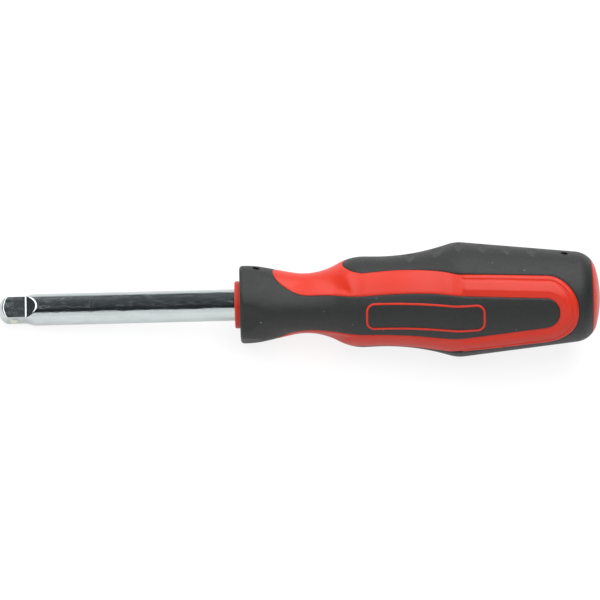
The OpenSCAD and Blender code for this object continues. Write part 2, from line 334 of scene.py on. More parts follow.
def cut(params, tris, field, reach):
    """Cuts the triangles along a field's edge."""
    params, on_edge = snap(params, field, reach)
    value = field(params)
    value[on_edge] = 0

    def pick_edges(edges):
        a, b = value[edges[:, 0]], value[edges[:, 1]]
        picked = a * b < 0
        low, high = np.zeros(picked.sum()), np.ones(picked.sum())
        pa, pb = params[edges[picked, 0]], params[edges[picked, 1]]
        sign = np.sign(a[picked])
        for _ in range(14):
            mid = (low + high) / 2
            same = field(between(pa, pb, mid)) * sign > 0
            low, high = np.where(same, mid, low), np.where(same, high, mid)
        return picked, (low + high) / 2

    return split_edges(params, tris, pick_edges)


def rest_point(params, radius):
    """Points at a radius, with the panels facing -Y."""
    s, phi = params.T
    return np.column_stack([outline_x(s), -radius * np.cos(phi), radius * np.sin(phi)])


def lie(points):
    """Rolls points of the handle to the way it lies."""
    x, y, z = points.T
    c, k = math.cos(LIE_ROLL), math.sin(LIE_ROLL)
    return np.column_stack([x, y * c + z * k, z * c - y * k])


def handle_point(params, height):
    """Points of the handle's surface as it lies, raised by a height along its normal."""
    def spot(along, around):
        moved = params + (along, around)
        moved[:, 0] = np.maximum(moved[:, 0], 0)
        return rest_point(moved, surface_r(moved) * flat_share(moved))

    along = spot(0.02, 0) - spot(-0.02, 0)
    around = spot(0, 0.002) - spot(0, -0.002)
    normal = np.cross(along, around)
    normal /= np.linalg.norm(normal, axis=1)[:, None]
    return lie(spot(0, 0) + np.asarray(height)[:, None] * normal)


# Back of the skins: the outline let in by their thickness, with a plain corner in the collar
SKIN_T = 1.6
OUTWARD = np.column_stack([-TANGENT[:, 1], TANGENT[:, 0]])
LET_IN = PROFILE - SKIN_T * OUTWARD / np.hypot(*TANGENT.T)[:, None]
CORNER_HALF, CORNER_X, CORNER_R = 2.6, [69.6, 69.7, 71.2], [9.1, 9.6, 9.7]
CORNER_S = [EDGE_S - CORNER_HALF, EDGE_S, EDGE_S + CORNER_HALF]
IN_CORNER = (ARC > CORNER_S[0]) & (ARC < CORNER_S[2])
LET_IN[IN_CORNER, 0] = np.interp(ARC[IN_CORNER], CORNER_S, CORNER_X)
LET_IN[IN_CORNER, 1] = np.interp(ARC[IN_CORNER], CORNER_S, CORNER_R)


def back_point(params):
    s = params[:, 0]
    fuller = surface_r(params) * flat_share(params)
    radius = np.interp(s, ARC, LET_IN[:, 1]) + fuller - outline_r(s)
    points = rest_point(params, radius)
    points[:, 0] = np.interp(s, ARC, LET_IN[:, 0])
    return lie(points)


# Grip notches: V-shaped cuts across the side zones
NOTCH_X = 116.0 + 7.0 * np.arange(6)
NOTCH_DEPTH, NOTCH_W, NOTCH_ROUND, NOTCH_EASE = 0.6, 2.6, 0.25, 0.12
NOTCH_FOOT = outline_r(arc_of(NOTCH_X)) - NOTCH_DEPTH
# Blind holes of the moulding pins
PIN_X, PIN_R, PIN_DEPTH = (72.8, 160.0), 1.0, 1.45


def notch_floor(x):
    """Height of the nearest notch's flanks above the axis, along the handle."""
    nearest = np.abs(x[:, None] - NOTCH_X).argmin(1)
    away = np.abs(x - NOTCH_X[nearest])
    return NOTCH_FOOT[nearest] + np.hypot(away, NOTCH_ROUND) * NOTCH_DEPTH / (NOTCH_W / 2)


def notch_field(params):
    """Height of the notch flanks over the surface, negative inside a notch."""
    flat = seen_flat(params)
    return notch_floor(flat[:, 0]) - flat[:, 1]


def notch_drop(params):
    """Depth that the notches take off the surface."""
    s, phi = params.T
    r = surface_r(params)
    left = notch_floor(outline_x(s)) / np.maximum(np.abs(np.sin(phi)), 1e-6)
    return r - np.minimum(r, smooth_min(r, left, NOTCH_EASE))


def pin_field(params):
    """Distance from the rims of the blind pin holes in the two sides."""
    s, phi = params.T
    x, y = outline_x(s), surface_r(params) * np.cos(phi)
    return np.minimum(np.hypot(x - PIN_X[0], y), np.hypot(x - PIN_X[1], y)) - PIN_R


# Plain sunk field with a thin red frame on the front panel
FIELD_X, FIELD_HALF_L, FIELD_HALF_H, FIELD_ROUND = 120.25, 16.5, 3.75, 2.2
FIELD_DEPTH, FIELD_SLOPE, LINE_W = 0.16, (-0.1, 0.35), 0.6


def sunk_field(params):
    """Distance from the frame of the sunk field, negative inside it."""
    s, phi = params.T
    x, z = np.abs(outline_x(s) - FIELD_X), np.abs(surface_r(params) * np.sin(phi))
    dx, dz = x - FIELD_HALF_L + FIELD_ROUND, z - FIELD_HALF_H + FIELD_ROUND
    past_corner = np.hypot(np.maximum(dx, 0), np.maximum(dz, 0))
    gap = past_corner + np.minimum(np.maximum(dx, dz), 0) - FIELD_ROUND
    return np.where(np.cos(phi) > 0, gap, FAR)


def grid():
    """Base triangles over the whole handle, from the nose ring's hole to the dome's rim."""
    rows = np.concatenate([
        np.linspace(0, FACE_S, 8, endpoint=False),
        np.linspace(FACE_S, EDGE_S, 8, endpoint=False),
        np.linspace(EDGE_S, RIM_S, 240),
    ])
    columns = 216
    phi = np.arange(columns) * 2 * math.pi / columns
    params = np.column_stack([np.repeat(rows, columns), np.tile(phi, len(rows))])
    i, j = np.meshgrid(np.arange(len(rows) - 1), np.arange(columns), indexing="ij")
    k = (j + 1) % columns
    a, b = (i * columns + j).ravel(), (i * columns + k).ravel()
    c, d = ((i + 1) * columns + k).ravel(), ((i + 1) * columns + j).ravel()
    odd = ((i + j) % 2 == 1).ravel()[:, None]
    first = np.where(odd, np.column_stack((a, c, b)), np.column_stack((a, d, b)))
    second = np.where(odd, np.column_stack((a, d, c)), np.column_stack((b, d, c)))
    return params, np.vstack([first, second])


def all_edges(params):
    """Distance from the nearest edge between two materials."""
    panel, band = on_surface(params, to_panel), on_surface(params, to_band)
    return np.minimum(np.abs(panel), np.abs(band))


def raised_edges(params):
    """Distance from the edges of the raised red behind the hip, far away elsewhere."""
    panel, band = on_surface(params, to_panel), on_surface(params, to_band)
    raised = (panel > -0.2) & (band < 0.2) & (outline_x(params[:, 0]) > HIP_X)
    return np.where(raised, np.minimum(np.abs(panel), np.abs(band)), FAR)


# Where the triangles are made finer: field, reach, longest edge left
FINER = (
    (all_edges, 0.6, 0.36),
    (all_edges, 0.4, 0.26),
    (raised_edges, 2.1, 0.36),
    (raised_edges, 1.9, 0.31),
    (notch_field, 0.3, 0.36),
    (notch_field, 0.12, 0.26),
    (pin_field, 0.5, 0.3),
    (pin_field, 0.2, 0.16),
    (sunk_field, 0.9, 0.3),
)
# Where they are cut: field, reach of the points that snap to it
CUTS = ((to_panel, 0.05), (to_band, 0.05), (pin_field, 0.04))


def skin_triangles():
    """Points and triangles of the handle's surface, cut along every edge."""
    params, tris = grid()
    for field, reach, longest in FINER:
        params, tris = refine(params, tris, field, reach, longest)
    for field, reach in CUTS:
        params, tris = cut(params, tris, field, reach)
    return params, tris


def middles(params, tris):
    """Middle of each triangle on the surface."""
    a, b, c = params[tris[:, 0]], params[tris[:, 1]], params[tris[:, 2]]
    return between(between(a, b, 0.5), c, 1 / 3)


# Heights of the three skins over the plain form

SOFT_EDGE = 0.5, 0.22  # width and depth of the rounded edge
RED_EDGE = 0.5, 0.18
# Red band behind the hip: a dip up to it, a step, a slow swell, and its raised edges
DIP, STEP, SWELL, RISE = 0.3, 0.4, 0.2, 0.3
DIP_X, STEP_X, SWELL_X = (-3.5, 0.9), (0.9, 2.0), (2, 12)
RIM_EDGE, RIM_EDGE_WIDER = (0.6, 0.16), 1.4
GROOVE_AT, GROOVE_W = 1.6, 0.32
BEVEL, BEVEL_FROM, BEVEL_W = 1.15, 1.9, 1.4
# Fold between the neck and the belly, and how it fades to the sides and to the red's edges
FOLD_X, FOLD_SLANT, FOLD_MID, FOLD_DEPTH = 95.0, 0.75, 10.5, 0.42
FOLD_FRONT, FOLD_REAR = 3.6, 1.7
FOLD_SIDES, FOLD_AT_PANEL, FOLD_AT_BAND = (0.36, 0.68), (0, 2.2), (-0.6, 0.8)


def shoulder(gap, width, depth):
    """Rounded edge: how far the surface falls towards an edge that lies at gap 0."""
    return depth * np.clip(1 - gap / width, 0, 1) ** 2


def front_height(params, panel_gap):
    """Soft collar and panels, with the sunk field."""
    field = FIELD_DEPTH * smooth_step(*FIELD_SLOPE, -sunk_field(params))
    return -shoulder(panel_gap, *SOFT_EDGE) - field


def shell_height(params, panel_gap, band_gap):
    """Red neck and bands: proud behind the hip with a rim, a groove and a bevel, and folded
    between the neck and the belly."""
    behind_hip = outline_x(params[:, 0]) - HIP_X
    proud = smooth_step(*STEP_X, behind_hip)
    rise = RISE * proud
    step_up = STEP * proud - DIP * smooth_step(*DIP_X, behind_hip)
    step_up += SWELL * smooth_step(*SWELL_X, behind_hip)
    rim_w, rim_depth = RIM_EDGE
    height = step_up - shoulder(band_gap, rim_w + RIM_EDGE_WIDER * rise, rim_depth + rise)
    height -= shoulder(panel_gap, *RED_EDGE)
    groove = np.exp(-((band_gap - GROOVE_AT) / GROOVE_W) ** 2)
    bevel = BEVEL * np.clip(BEVEL_FROM - panel_gap, 0, BEVEL_W)
    height -= rise * (groove + bevel)
    along, beside = seen_flat(params).T
    past = along - FOLD_X - FOLD_SLANT * (FOLD_MID - beside)
    fold = np.exp(-(past / np.where(past > 0, FOLD_REAR, FOLD_FRONT)) ** 2)
    facing = smooth_step(*FOLD_SIDES, np.abs(np.cos(params[:, 1])))
    depth = FOLD_DEPTH * fold * facing * smooth_step(*FOLD_AT_PANEL, panel_gap)
    return height - depth * smooth_step(*FOLD_AT_BAND, band_gap)


def rear_height(params, band_gap):
    """Soft side zones with their notches."""
    return -shoulder(band_gap, *SOFT_EDGE) - notch_drop(params)


# Meshes

def add_object(name, data):
    obj = bpy.data.objects.new(name, data)
    bpy.context.scene.collection.objects.link(obj)
    return obj


def make_object(name, points, faces, material, body="handle", sharp=38):
    """Smooth piece on a body, from points in millimetres, sharp past an angle in degrees."""
    mesh = bpy.data.meshes.new(name)
    mesh.from_pydata((np.asarray(points) * MM).tolist(), [], faces)
    mesh.update()
    mesh.shade_smooth()
    mesh.set_sharp_from_angle(angle=math.radians(sharp))
    mesh.materials.append(material)
    obj = add_object(name, mesh)
    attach(obj, body)
    return obj


def fix_normals(obj):
    bm = bmesh.new()
    bm.from_mesh(obj.data)
    bmesh.ops.recalc_face_normals(bm, faces=bm.faces)
    bm.to_mesh(obj.data)
    bm.free()


def border(tris):
    """Directed edges that only one triangle has."""
    ends = np.vstack([tris[:, [0, 1]], tris[:, [1, 2]], tris[:, [2, 0]]])
    keys = np.sort(ends, axis=1)
    _, first, count = np.unique(keys, axis=0, return_index=True, return_counts=True)
    return ends[first[count == 1]]


def walls(top, foot):
    """Wall triangles between two runs of edges that lie over each other."""
    return [
        np.column_stack((top[:, 1], top[:, 0], foot[:, 0])),
        np.column_stack((top[:, 1], foot[:, 0], foot[:, 1])),
    ]


def closed_skin(params, tris, height, holes):
    """Solid skin: the outer surface, walls round its border and in its pin holes, and a back."""
    outer = handle_point(params, height)
    inner = back_point(params)
    count = len(params)
    open_tris = tris[~holes]
    faces = [open_tris, open_tris[:, ::-1] + count]
    points = [outer, inner]
    sunk = tris[holes]
    if len(sunk):
        c, k = math.cos(LIE_ROLL), math.sin(LIE_ROLL)
        up = np.sign(np.sin(params[:, 1]))
        points.append(outer - PIN_DEPTH * up[:, None] * np.array((0.0, k, c)))
        faces += [sunk + 2 * count, sunk[:, ::-1] + count]
        rim = border(sunk)
        faces += walls(rim, rim + 2 * count)
    edge = border(tris)
    faces += walls(edge, edge + count)
    points, faces = np.vstack(points), np.vstack(faces)
    used, back = np.unique(faces, return_inverse=True)
    return points[used], back.reshape(faces.shape)


# Materials

NOISE_SPAN = 0.3, 0.7  # values that a noise mostly keeps between


def new_material(name, metallic=0.0):
    material = bpy.data.materials.new(name)
    material.use_nodes = True
    tree = material.node_tree
    shader = tree.nodes["Principled BSDF"]
    shader.inputs["Metallic"].default_value = metallic
    place = tree.nodes.new("ShaderNodeTexCoord").outputs["Object"]
    return material, tree, shader, place


def add_noise(tree, vector, scale, detail=3.0, rough=0.5, stretch=None):
    if stretch:
        mapping = tree.nodes.new("ShaderNodeMapping")
        mapping.inputs["Scale"].default_value = stretch
        tree.links.new(vector, mapping.inputs["Vector"])
        vector = mapping.outputs["Vector"]
    noise = tree.nodes.new("ShaderNodeTexNoise")
    noise.inputs["Scale"].default_value = scale
    noise.inputs["Detail"].default_value = detail
    noise.inputs["Roughness"].default_value = rough
    tree.links.new(vector, noise.inputs["Vector"])
    return noise.outputs["Fac"]


def ramp(tree, value, stops):
    """Colours for values, from stops of (value, colour)."""
    node = tree.nodes.new("ShaderNodeValToRGB")
    points = node.color_ramp.elements
    while len(points) < len(stops):
        points.new(0.5)
    for point, (at, colour) in zip(points, stops):
        point.position = at
        point.color = (*colour, 1)
    tree.links.new(value, node.inputs["Fac"])
    return node.outputs["Color"]


def spread(tree, value, low, high, to_low, to_high):
    """Maps a span of values to another one."""
    node = tree.nodes.new("ShaderNodeMapRange")
    node.inputs["From Min"].default_value = low
    node.inputs["From Max"].default_value = high
    node.inputs["To Min"].default_value = to_low
    node.inputs["To Max"].default_value = to_high
    tree.links.new(value, node.inputs["Value"])
    return node.outputs["Result"]


def add_bump(tree, shader, height, distance, strength, after=None):
    bump = tree.nodes.new("ShaderNodeBump")
    bump.inputs["Strength"].default_value = strength
    bump.inputs["Distance"].default_value = distance
    tree.links.new(height, bump.inputs["Height"])
    if after:
        tree.links.new(after, bump.inputs["Normal"])
    tree.links.new(bump.outputs["Normal"], shader.inputs["Normal"])
    return bump.outputs["Normal"]


def set_finish(tree, shader, shade, stops, grain, smoothest, roughest):
    """Colour from one noise, and roughness from another or the same one."""
    tree.links.new(ramp(tree, shade, stops), shader.inputs["Base Color"])
    rough = spread(tree, grain, *NOISE_SPAN, smoothest, roughest)
    tree.links.new(rough, shader.inputs["Roughness"])


def soft_plastic():
    """Black soft grip: matt, finely grained, with a few sparse pale specks."""
    material, tree, shader, place = new_material("soft_black")
    grain = add_noise(tree, place, 2600, 3, 0.6)
    specks = add_noise(tree, place, 1150, 0)
    set_finish(tree, shader, specks, [
        (0.3, (0.0052, 0.0059, 0.0059)),
        (0.6, (0.0070, 0.0077, 0.0077)),
        (0.865, (0.0070, 0.0077, 0.0077)),
        (0.885, (0.16, 0.16, 0.15)),
    ], grain, 0.42, 0.64)
    shader.inputs["Specular IOR Level"].default_value = 0.58
    add_bump(tree, shader, grain, 0.0001, 0.7)
    return material


def red_plastic():
    """Red hard plastic: satin, with slight flow marks from the mould."""
    material, tree, shader, place = new_material("hard_red")
    flow = add_noise(tree, place, 60, 3, 0.5, (0.35, 1, 1))
    fine = add_noise(tree, place, 1500, 2, 0.5)
    set_finish(tree, shader, flow, [
        (0.3, (0.66, 0.0225, 0.005)),
        (0.7, (0.71, 0.0265, 0.0065)),
    ], flow, 0.34, 0.40)
    shader.inputs["Specular IOR Level"].default_value = 0.44
    add_bump(tree, shader, fine, 0.00003, 0.4)
    return material


def chrome():
    """Bright chrome plate with the faint waves of the ground bar under it."""
    material, tree, shader, place = new_material("chrome", 1.0)
    waves = add_noise(tree, place, 420, 4, 0.6, (0.3, 1, 1))
    pits = add_noise(tree, place, 1700, 4, 0.65, (0.22, 1, 1))
    set_finish(tree, shader, waves, [
        (0.3, (0.54, 0.585, 0.585)),
        (0.7, (0.62, 0.67, 0.67)),
    ], pits, 0.04, 0.15)
    bent = add_bump(tree, shader, waves, 0.0001, 0.7)
    add_bump(tree, shader, pits, 0.00006, 0.5, bent)
    return material


def ball_steel():
    """Plain hardened ball, duller and yellower than the plate round it."""
    material, tree, shader, place = new_material("ball_steel", 1.0)
    marks = add_noise(tree, place, 2600, 3)
    set_finish(tree, shader, marks, [
        (0.3, (0.57, 0.59, 0.51)),
        (0.7, (0.66, 0.68, 0.59)),
    ], marks, 0.16, 0.26)
    return material


def spring_wire():
    """Drawn spring wire, dark grey."""
    material, tree, shader, place = new_material("spring_wire", 1.0)
    marks = add_noise(tree, place, 3000, 2)
    set_finish(tree, shader, marks, [
        (0.3, (0.30, 0.30, 0.30)),
        (0.7, (0.42, 0.42, 0.42)),
    ], marks, 0.3, 0.45)
    return material


SOFT, RED, CHROME = soft_plastic(), red_plastic(), chrome()


# Handle

def handle_skins():
    """The two soft skins and the red one between them."""
    params, tris = skin_triangles()
    centres = middles(params, tris)
    in_panel = to_panel(centres) < 0
    in_band = ~in_panel & (to_band(centres) < 0)
    in_rear = ~in_panel & ~in_band
    in_pin = pin_field(centres) < 0
    panel_gap = np.abs(on_surface(params, to_panel))
    band_gap = np.abs(on_surface(params, to_band))
    front = front_height(params, panel_gap)
    shell = shell_height(params, panel_gap, band_gap)
    rear = rear_height(params, band_gap)
    for name, region, height, material, node in (
        ("soft_collar_and_panels", in_panel, front, SOFT, "front_grip"),
        ("red_neck_and_bands", in_band, shell, RED, "hard_shell"),
        ("soft_side_zones", in_rear, rear, SOFT, "rear_grip"),
    ):
        points, faces = closed_skin(params, tris[region], height, in_pin[region])
        skin = make_object(name, points, faces.tolist(), material)
        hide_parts(node)


def field_frame():
    """Thin red line round the sunk field, a closed strip that stands a hair proud."""
    start = (0.0, -FIELD_HALF_H, 0.0)
    corners = [
        (i * FIELD_HALF_L, j * FIELD_HALF_H, FIELD_ROUND)
        for i, j in ((1, -1), (1, 1), (-1, 1), (-1, -1))
    ]
    path = rounded([start, *corners, start], 6)
    length = arc_lengths(path)
    count = 240
    at = np.linspace(0, length[-1], count, endpoint=False)
    line = np.column_stack([np.interp(at, length, path[:, k]) for k in (0, 1)])
    run = np.roll(line, -1, axis=0) - np.roll(line, 1, axis=0)
    outward = np.column_stack([run[:, 1], -run[:, 0]]) / np.linalg.norm(run, axis=1)[:, None]
    # Share of the line's width, height
    section = [(-0.5, -0.5), (-0.5, -0.02), (-0.3, 0.05), (0.3, 0.05), (0.5, -0.02), (0.5, -0.5)]
    points = []
    for share, height in section:
        spot = line + outward * share * LINE_W
        s = arc_of(FIELD_X + spot[:, 0])
        ring = np.column_stack([s, np.arcsin(spot[:, 1] / outline_r(s))])
        points.append(handle_point(ring, np.full(count, height)))
    points = np.vstack(points)
    sides = len(section)
    faces = []
    for k in range(sides):
        for i in range(count):
            j, m = (i + 1) % count, (k + 1) % sides
            faces.append((k * count + i, k * count + j, m * count + j, m * count + i))
    fix_normals(make_object("field_frame", points, faces, RED))


def turned_piece(name, path, columns, material):
    """Closed solid turned about the axis from a path that starts and ends on the axis."""
    path = np.asarray(path)
    angle = np.arange(columns) * 2 * math.pi / columns
    rings = path[1:-1]
    points = [(path[0][0], 0, 0)]
    for x, r in rings:
        points += [(x, r * math.cos(a), r * math.sin(a)) for a in angle]
    points.append((path[-1][0], 0, 0))
    last = 1 + (len(rings) - 1) * columns
    faces = []
    for j in range(columns):
        k = (j + 1) % columns
        faces.append((0, 1 + k, 1 + j))
        for i in range(len(rings) - 1):
            a, b = 1 + i * columns, 1 + (i + 1) * columns
            faces.append((a + j, a + k, b + k, b + j))
        faces.append((last + j, last + k, len(points) - 1))
    obj = make_object(name, points, faces, material)
    fix_normals(obj)
    return obj


# Nose ring in front of the collar, and the core's bore and the parts of it under the skins
RING_X, RING_R, RING_EDGE, RING_FOOT = 66.5, 6.7, 0.5, 69.8
BORE_X, BORE_R, BORE_EDGE = 69.0, 4.45, 0.12
CORE_SLIM, CORE_R = 6.05, 9.0


def core():
    """Red core: its nose ring in front of the collar and its domed rear end."""
    front = rounded([
        (BORE_X, BORE_R, 0.0),
        (RING_X, BORE_R, BORE_EDGE),
        (RING_X, RING_R, RING_EDGE),
        (RING_FOOT, RING_R, 0.0),
    ], 12)
    under_rim = RIM_R - 0.06
    hidden = [
        (RING_FOOT, CORE_SLIM),
        (93.0, CORE_SLIM),
        (101.0, CORE_R),
        (165.0, CORE_R),
        (165.0, under_rim),
    ]
    rim_x = float(outline_x(RIM_S))
    rim = [(rim_x - 0.35, under_rim), (rim_x + 0.06, RIM_R - 0.2)]
    dome = [p for p, s in zip(PROFILE, ARC) if s > RIM_S and p[1] < RIM_R - 0.1]
    path = [(BORE_X, 0.0), *front, *hidden, *rim, *dome[1:-1], (DOME_X, 0.0)]
    obj = turned_piece("red_core", path, 144, RED)
    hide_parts("handle_core")


# Drive shaft

DRIVE_FLAT, DRIVE_L, RUN_OUT = 3.15, 7.5, math.tan(math.radians(26))
DRIVE_CORNER_R, SHAFT_R, SHAFT_END = 4.33, 4.5, 67.4
FINE_END = 12.6  # past the run-outs
# Easing of the long edges, what the run-outs and the nose add to it, and where
EASE_LONG, EASE_RUN_OUT, EASE_NOSE = 0.09, 0.11, 0.41
RUN_OUT_X, NOSE_X, RUN_OUT_START_W = (DRIVE_L - 0.3, DRIVE_L + 0.3), (1.3, 2.3), 0.34
# Staked ring round the ball, the ball, and its hole with a lip
STAKE_R, STAKE_W, STAKE_H = 2.1, 0.28, 0.09
BALL_X, BALL_R, BALL_SEAT, HOLE_R, HOLE_FLOOR = 4.0, 1.5, 2.5, 1.402, -2.05
HOLE_EDGE, HOLE_WIDER, LIP_H = 0.06, 0.14, 0.4


def roll_drive(x, across, out):
    """Point of the drive as it lies, from its place across and out of the flat with the ball."""
    c, s = math.cos(DRIVE_ROLL), math.sin(DRIVE_ROLL)
    return x, across * c - out * s, -across * s - out * c


def shaft_grid():
    """Points of the shaft in rows along it, with the flat that carries the ball facing +Z."""
    path = rounded([
        (0.0, 0.0, 0.0),
        (0.0, 2.2, 0.3),
        (1.72, DRIVE_CORNER_R, 0.35),
        (DRIVE_L, DRIVE_CORNER_R, 0.3),
        (DRIVE_L + 0.3, SHAFT_R, 0.3),
        (FINE_END, SHAFT_R, 0.0),
        (SHAFT_END, SHAFT_R, 0.0),
        (SHAFT_END, 0.0, 0.0),
    ], 9)
    arc = arc_lengths(path)
    fine_end = np.interp(FINE_END, path[:-1, 0], arc[:-1])
    rows = np.concatenate([
        np.linspace(0.4, fine_end, 190),
        np.linspace(fine_end, arc[-2], 30)[1:],
    ])
    x, r = np.interp(rows, arc, path[:, 0]), np.interp(rows, arc, path[:, 1])
    half = np.concatenate([np.linspace(0, 34, 14, endpoint=False), np.linspace(34, 45, 13)])
    quarter = np.concatenate([-half[:0:-1], half[:-1]])
    psi = np.radians(np.concatenate([quarter + 90 * k for k in range(4)]))
    columns = len(psi)
    radius = np.repeat(r[:, None], columns, axis=1)
    height = DRIVE_FLAT + blend_up(x - DRIVE_L, RUN_OUT_START_W) * RUN_OUT
    easing = EASE_LONG + EASE_RUN_OUT * smooth_step(*RUN_OUT_X, x)[:, None]
    easing += EASE_NOSE * (1 - smooth_step(*NOSE_X, x))[:, None]
    for k in range(4):
        cosine = np.cos(psi - k * math.pi / 2)
        plane = height[:, None] / np.maximum(cosine, 0.05)[None, :]
        radius = np.where(plane < radius + 0.6, smooth_min(radius, plane, easing), radius)
    off_ball = np.hypot(x[:, None] - BALL_X, radius * np.sin(psi))
    staked = STAKE_H * np.exp(-((off_ball - STAKE_R) / STAKE_W) ** 2)
    radius = np.where(np.cos(psi) > 0.7, radius - staked, radius)
    spot = radius[:, :, None] * np.stack([np.sin(psi), np.cos(psi)], axis=1)[None]
    return np.concatenate([np.repeat(x[:, None, None], columns, axis=1), spot], axis=2)


def drive_shaft():
    """Chromed bar: square drive with eased edges, sloped run-outs, coned nose and ball hole."""
    points = shaft_grid()
    rows, columns = points.shape[:2]
    bm = bmesh.new()
    verts = [bm.verts.new(p) for p in points.reshape(-1, 3)]
    nose = bm.verts.new((0.0, 0.0, 0.0))
    tail = bm.verts.new((SHAFT_END, 0.0, 0.0))
    last = (rows - 1) * columns
    for j in range(columns):
        k = (j + 1) % columns
        bm.faces.new((nose, verts[k], verts[j]))
        bm.faces.new((tail, verts[last + j], verts[last + k]))
        for i in range(rows - 1):
            a, b = i * columns, (i + 1) * columns
            bm.faces.new((verts[a + j], verts[a + k], verts[b + k], verts[b + j]))
    open_ball_hole(bm)
    bmesh.ops.recalc_face_normals(bm, faces=bm.faces)
    for v in bm.verts:
        v.co = roll_drive(*v.co)
    # The roll mirrors the drive, so its faces are turned round
    bmesh.ops.reverse_faces(bm, faces=bm.faces)
    bmesh.ops.recalc_face_normals(bm, faces=bm.faces)
    bm.verts.index_update()
    points = [tuple(v.co) for v in bm.verts]
    faces = [tuple(v.index for v in f.verts) for f in bm.faces]
    bm.free()
    obj = make_object("chrome_shaft", points, faces, CHROME, sharp=50)
    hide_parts("drive_shaft")


def open_ball_hole(bm):
    """Cuts the ball's round hole, with a staked lip, into the flat that carries it."""
    def in_reach(co):
        return co.z > 2.9 and math.hypot(co.x - BALL_X, co.y) < HOLE_R + 0.3

    near = [f for f in bm.faces if all(in_reach(v.co) for v in f.verts)]
    bmesh.ops.delete(bm, geom=near, context="FACES")
    outer = [e for e in bm.edges if len(e.link_faces) == 1]
    count = 64
    rings = [
        (HOLE_R + HOLE_EDGE, DRIVE_FLAT),
        (HOLE_R, DRIVE_FLAT - HOLE_EDGE),
        (HOLE_R + HOLE_WIDER, DRIVE_FLAT - LIP_H),
        (HOLE_R + HOLE_WIDER, HOLE_FLOOR),
    ]
    loops = []
    for radius, height in rings:
        loop = []
        for i in range(count):
            a = FULL_TURN * i / count
            spot = (BALL_X + radius * math.cos(a), radius * math.sin(a), height)
            loop.append(bm.verts.new(spot))
        loops.append(loop)
    first = [bm.edges.new((loops[0][i], loops[0][(i + 1) % count])) for i in range(count)]
    for a, b in zip(loops[:-1], loops[1:]):
        for i in range(count):
            j = (i + 1) % count
            bm.faces.new((a[i], a[j], b[j], b[i]))
    bm.faces.new(loops[-1])
    outer = [e for e in outer if e.is_valid]
    bmesh.ops.bridge_loops(bm, edges=outer + first)


def detent_ball():
    """Steel ball that stands out of its hole."""
    bm = bmesh.new()
    bmesh.ops.create_icosphere(bm, subdivisions=4, radius=BALL_R)
    centre = np.array(roll_drive(BALL_X, 0.0, BALL_SEAT))
    points = [np.array(v.co) + centre for v in bm.verts]
    faces = [tuple(v.index for v in f.verts) for f in bm.faces]
    bm.free()
    steel = ball_steel()
    obj = make_object("steel_ball", points, faces, steel, body="ball", sharp=180)
    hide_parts("detent_ball")


def coil_spring():
    """Spring between the hole's floor and the ball."""
    turns, coil_r, wire_r, foot, top, travel = 3.5, 1.05, 0.2, -1.8, 1.113, 0.8
    rings, sides = 84, 10
    points = []
    for i in range(rings + 1):
        a = FULL_TURN * turns * i / rings
        for k in range(sides):
            b = FULL_TURN * k / sides
            r = coil_r + wire_r * math.cos(b)
            out = foot + (top - foot) * i / rings + wire_r * math.sin(b)
            points.append(roll_drive(BALL_X + r * math.cos(a), r * math.sin(a), out))
    faces = [tuple(range(sides)), tuple(range(rings * sides, (rings + 1) * sides))]
    for i in range(rings):
        for k in range(sides):
            a, b = i * sides + k, i * sides + (k + 1) % sides
            faces.append((a, b, b + sides, a + sides))
    obj = make_object("coil_spring", points, faces, spring_wire())
    fix_normals(obj)
    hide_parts("detent_spring")
    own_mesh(obj)


# Floor, light and camera

FLOOR_HALF, FLOOR_TILT = 3000.0, 0.0935
FLOOR_UNDER = 68.6, -10.56  # place along X and height where the collar stands on it
FLOOR_GREY = 0.52
FLOOR_IN_METAL, FLOOR_IN_VIEW = (0.45, 0.5), (0.2, 0.85)  # grey and glow
STRIP_L, STRIP_Y, STRIP_Z = 5.2, 1.0, 2.4  # metres
CAMERA_ELEVATION, CAMERA_ROLL = math.radians(50.5), math.radians(1.41)
CAMERA_RANGE, VIEW_W, SENSOR_W = 1500.0, 170.1, 36.0
AIM, AIM_LIFT = Vector((85.0, 0.0, 0.0)), 0.936


def matt(tree, grey):
    node = tree.nodes.new("ShaderNodeBsdfDiffuse")
    node.inputs["Color"].default_value = (grey, grey, grey, 1)
    return node.outputs["BSDF"]


def pale(tree, grey, glow):
    """Matt grey with a white glow of its own."""
    light = tree.nodes.new("ShaderNodeEmission")
    light.inputs["Color"].default_value = (1, 1, 1, 1)
    light.inputs["Strength"].default_value = glow
    both = tree.nodes.new("ShaderNodeAddShader")
    tree.links.new(matt(tree, grey), both.inputs[0])
    tree.links.new(light.outputs["Emission"], both.inputs[1])
    return both.outputs["Shader"]


def either(tree, first, second):
    """1 where one of two ray kinds is met."""
    node = tree.nodes.new("ShaderNodeMath")
    node.operation = "MAXIMUM"
    tree.links.new(first, node.inputs[0])
    tree.links.new(second, node.inputs[1])
    return node.outputs[0]


def by_ray(tree, kind, others, these):
    """One shader for a kind of ray, and another for all others."""
    mix = tree.nodes.new("ShaderNodeMixShader")
    tree.links.new(kind, mix.inputs["Fac"])
    tree.links.new(others, mix.inputs[1])
    tree.links.new(these, mix.inputs[2])
    return mix.outputs["Shader"]


